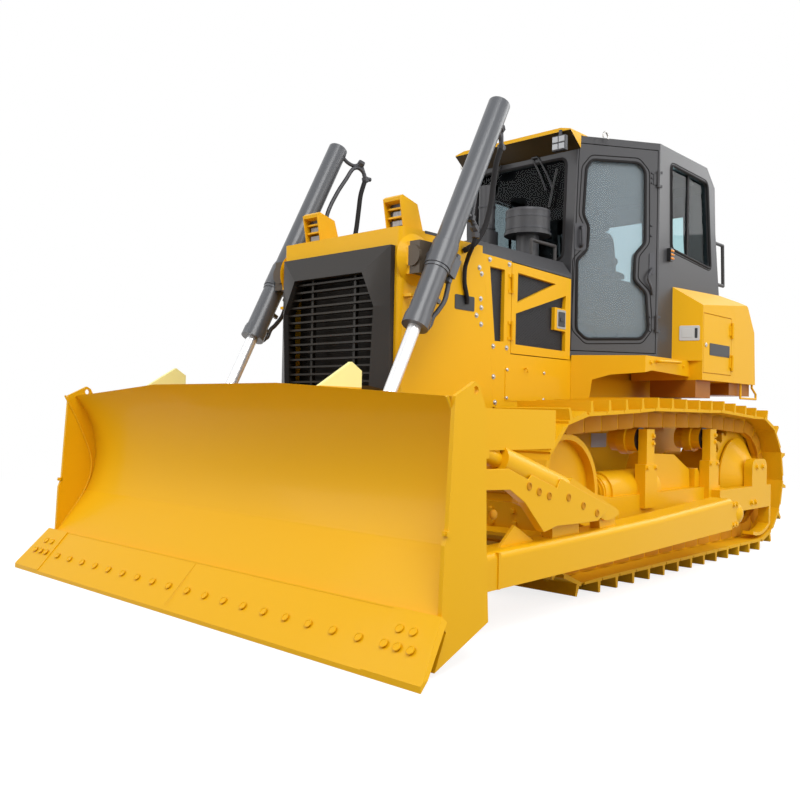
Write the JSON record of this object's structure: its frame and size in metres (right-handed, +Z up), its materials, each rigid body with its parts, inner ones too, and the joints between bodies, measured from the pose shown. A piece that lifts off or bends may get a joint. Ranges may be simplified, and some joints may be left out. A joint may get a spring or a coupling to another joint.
{
  "type": "crawler bulldozer",
  "caption": "Crawler bulldozer with a straight tilt blade lifted by two cylinders, an enclosed cab, hinged side doors and steel tracks.",
  "frame": {"origin": "on the ground under the middle of the overall box", "axes": "+X forward, +Y to the machine's left, +Z up"},
  "size_m": [5.14, 3.388, 3.032],
  "materials": {
    "yellow_paint": "gloss enamel",
    "track_steel": "painted steel",
    "grey_paint": "satin enamel",
    "cab_paint": "satin enamel",
    "chrome_rod": "hard chrome",
    "dark_iron": "as cast, painted dark",
    "glass": "clear, light tint",
    "seat_black": "textured"
  },
  "bodies": {
    "chassis": {"air_cleaner": "grey_paint", "cab_glass": "glass", "cab_shell": "cab_paint", "console": "seat_black", "decks": "yellow_paint", "drawbar": "yellow_paint", "engine_block": "dark_iron", "final_drives": "yellow_paint", "fuel_tank": "yellow_paint", "grille": "cab_paint", "handrails": "grey_paint", "headlamps": "yellow_paint", "hood_sides": "yellow_paint", "hood_top": "cab_paint", "idlers": "yellow_paint", "main_frame": "yellow_paint", "operator_seat": "seat_black", "radiator_core": "dark_iron", "radiator_guard": "yellow_paint", "rollers": "yellow_paint", "roof_visors": "yellow_paint", "side_boxes": "yellow_paint", "sprockets": "yellow_paint", "track_frame_left": "yellow_paint", "track_frame_right": "yellow_paint", "track_left": "track_steel", "track_right": "track_steel"},
    "blade": {"moldboard": "yellow_paint", "cutting_edge": "yellow_paint", "push_arm_left": "yellow_paint", "push_arm_right": "yellow_paint", "tilt_brace_left": "yellow_paint", "screw_brace_right": "yellow_paint"},
    "lift_cylinder_left": {"lift_barrel_left": "grey_paint"},
    "lift_piston_left": {"lift_rod_left": "chrome_rod"},
    "cab_door_left": {"cab_door_left": "cab_paint", "door_glass_left": "glass"},
    "engine_door_left": {"engine_door_left": "yellow_paint"},
    "box_door_left": {"box_door_left": "yellow_paint"},
    "lift_cylinder_right": {"lift_barrel_right": "grey_paint"},
    "lift_piston_right": {"lift_rod_right": "chrome_rod"},
    "cab_door_right": {"cab_door_right": "cab_paint", "door_glass_right": "glass"},
    "engine_door_right": {"engine_door_right": "yellow_paint"},
    "box_door_right": {"box_door_right": "yellow_paint"}
  },
  "joints": [
    {"name": "blade_lift", "type": "hinge", "parent": "chassis", "child": "blade", "pos_m": [-1.01, 0, 0.368], "axis": [0, -1, 0], "range_deg": [-8.8, 17.5]},
    {"name": "lift_swing_left", "type": "hinge", "parent": "chassis", "child": "lift_cylinder_left", "pos_m": [1.328, 0.695, 1.87], "axis": [0, -1, 0], "range_deg": [-9, 17]},
    {"name": "lift_rod_slide_left", "type": "slide", "parent": "lift_cylinder_left", "child": "lift_piston_left", "axis": [0.4571, 0, -0.8894], "range_m": [-0.86, 0.44]},
    {"name": "cab_door_swing_left", "type": "hinge", "parent": "chassis", "child": "cab_door_left", "pos_m": [-0.8915, 0.8506, 2.2], "axis": [0, 0, 1], "range_deg": [0, 100]},
    {"name": "engine_door_swing_left", "type": "hinge", "parent": "chassis", "child": "engine_door_left", "pos_m": [0.403, 0.514, 1.7], "axis": [0, 0, -1], "range_deg": [0, 100]},
    {"name": "box_door_swing_left", "type": "hinge", "parent": "chassis", "child": "box_door_left", "pos_m": [-1.741, 1.062, 1.575], "axis": [0, 0, 1], "range_deg": [0, 100]},
    {"name": "lift_swing_right", "type": "hinge", "parent": "chassis", "child": "lift_cylinder_right", "pos_m": [1.328, -0.695, 1.87], "axis": [0, -1, 0], "range_deg": [-9, 17]},
    {"name": "lift_rod_slide_right", "type": "slide", "parent": "lift_cylinder_right", "child": "lift_piston_right", "axis": [0.4571, 0, -0.8894], "range_m": [-0.86, 0.44]},
    {"name": "cab_door_swing_right", "type": "hinge", "parent": "chassis", "child": "cab_door_right", "pos_m": [-0.8915, -0.8506, 2.2], "axis": [0, 0, -1], "range_deg": [0, 100]},
    {"name": "engine_door_swing_right", "type": "hinge", "parent": "chassis", "child": "engine_door_right", "pos_m": [0.403, -0.514, 1.7], "axis": [0, 0, 1], "range_deg": [0, 100]},
    {"name": "box_door_swing_right", "type": "hinge", "parent": "chassis", "child": "box_door_right", "pos_m": [-1.741, -1.062, 1.575], "axis": [0, 0, -1], "range_deg": [0, 100]}
  ],
  "couplings": [
    {"joint": "lift_swing_left", "follows": "blade_lift", "ratio": 0.93},
    {"joint": "lift_rod_slide_left", "follows": "blade_lift", "m_per_rad": -2.74},
    {"joint": "lift_swing_right", "follows": "blade_lift", "ratio": 0.93},
    {"joint": "lift_rod_slide_right", "follows": "blade_lift", "m_per_rad": -2.74}
  ]
}
